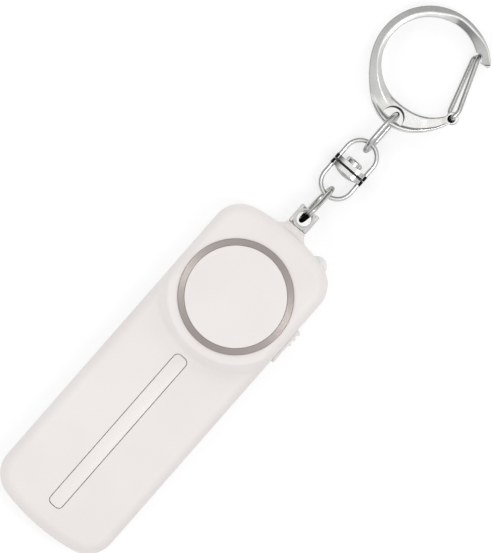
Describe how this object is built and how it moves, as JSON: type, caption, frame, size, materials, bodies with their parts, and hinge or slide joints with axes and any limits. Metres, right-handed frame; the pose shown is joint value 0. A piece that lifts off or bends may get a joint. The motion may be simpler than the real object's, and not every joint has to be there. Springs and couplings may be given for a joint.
{
  "type": "personal safety alarm",
  "caption": "Slim handheld alarm with a round sounder, top lamp, side slide switch and a pull pin on a short chain with a swivel and a spring clip.",
  "frame": {"origin": "on the flat back of the case, under the centre of the sounder", "axes": "+X to the switch side, +Y along the case towards the pin and the chain, +Z out of the front"},
  "size_m": [0.0348, 0.1626, 0.017],
  "materials": {
    "case_plastic": "satin white moulding",
    "strip_plastic": "satin white moulding",
    "ring_metal": "turned, satin grey",
    "pin_nickel": "turned and nickel plated",
    "chain_nickel": "bent wire, nickel plated",
    "clip_nickel": "die cast, polished and nickel plated",
    "lamp_clear": "clear cast resin",
    "screw_steel": "zinc plated",
    "tinned_steel": "tin plated",
    "contact_metal": "stamped spring strip",
    "board_green": "solder resist",
    "black_plastic": "moulded",
    "coil_ferrite": "sintered",
    "coil_copper": "enamelled wire",
    "capacitor_can": "plain sleeve",
    "chip_body": "fired ceramic",
    "piezo_brass": "rolled sheet",
    "piezo_white": "fired and silvered",
    "gasket_foam": "foam",
    "lead_cover": "wire insulation",
    "cell_sleeve": "plain sleeve, no print"
  },
  "bodies": {
    "case": {"front_cover": "case_plastic", "rear_cover": "case_plastic", "sounder_cap": "case_plastic", "switch_bezel": "case_plastic", "front_strip": "strip_plastic", "sounder_ring": "ring_metal", "lamp_lens": "lamp_clear", "case_screws": "screw_steel", "lamp_leads": "tinned_steel", "bridge_plate": "tinned_steel", "bridge_spring": "tinned_steel", "positive_plate": "tinned_steel", "negative_plate": "tinned_steel", "negative_spring": "tinned_steel", "switch_body": "tinned_steel", "pin_contacts": "contact_metal", "circuit_board": "board_green", "control_chip": "black_plastic", "driver_transistor": "black_plastic", "pin_socket": "black_plastic", "coil_core": "coil_ferrite", "coil_winding": "coil_copper", "reservoir_capacitor": "capacitor_can", "chip_parts": "chip_body", "piezo_plate": "piezo_brass", "piezo_ceramic": "piezo_white", "sounder_gasket": "gasket_foam", "sounder_leads": "lead_cover", "battery_leads": "lead_cover", "battery_cell_left": "cell_sleeve", "battery_cell_right": "cell_sleeve"},
    "pin": {"pull_pin": "pin_nickel"},
    "lower_link": {"lower_link": "chain_nickel"},
    "swivel_lower": {"swivel_lower": "chain_nickel", "swivel_rivet": "chain_nickel"},
    "swivel_upper": {"swivel_upper": "chain_nickel"},
    "upper_link": {"upper_link": "chain_nickel"},
    "clip": {"clip_hook": "clip_nickel"},
    "gate": {"clip_gate": "chain_nickel"},
    "switch": {"switch_thumb": "case_plastic", "switch_lever": "black_plastic"},
    "door": {"battery_door": "case_plastic"}
  },
  "joints": [
    {"name": "pin_pull", "type": "slide", "parent": "case", "child": "pin", "axis": [0, 1, 0], "range_m": [0, 0.018]},
    {"name": "lower_link_swing", "type": "hinge", "parent": "pin", "child": "lower_link", "pos_m": [0, 0.0282, 0.007], "axis": [1, 0, 0], "range_deg": [-50, 120]},
    {"name": "swivel_swing", "type": "hinge", "parent": "lower_link", "child": "swivel_lower", "pos_m": [0, 0.03339, 0.00355], "axis": [-1, 0, 0], "range_deg": [-50, 110]},
    {"name": "swivel_spin", "type": "hinge", "parent": "swivel_lower", "child": "swivel_upper", "pos_m": [0.0003, 0.0415, 0.00355], "axis": [0, 1, 0], "continuous": true},
    {"name": "upper_link_swing", "type": "hinge", "parent": "swivel_upper", "child": "upper_link", "pos_m": [0.0003, 0.04994, 0.00355], "axis": [1, 0, 0], "range_deg": [-80, 80]},
    {"name": "clip_swing", "type": "hinge", "parent": "upper_link", "child": "clip", "pos_m": [0, 0.05604, 0.00425], "axis": [-1, 0, 0], "range_deg": [-60, 60]},
    {"name": "gate_swing", "type": "hinge", "parent": "clip", "child": "gate", "pos_m": [0.01113, 0.06777, 0.003], "axis": [0, 0.0551, 0.9985], "range_deg": [0, 35], "stiffness_Nm_per_rad": 0.02, "springref_deg": -11.46},
    {"name": "switch_slide", "type": "slide", "parent": "case", "child": "switch", "axis": [0, -1, 0], "range_m": [0, 0.004]},
    {"name": "door_lift", "type": "slide", "parent": "case", "child": "door", "axis": [0, 0, -1], "range_m": [0, 0.02]}
  ]
}
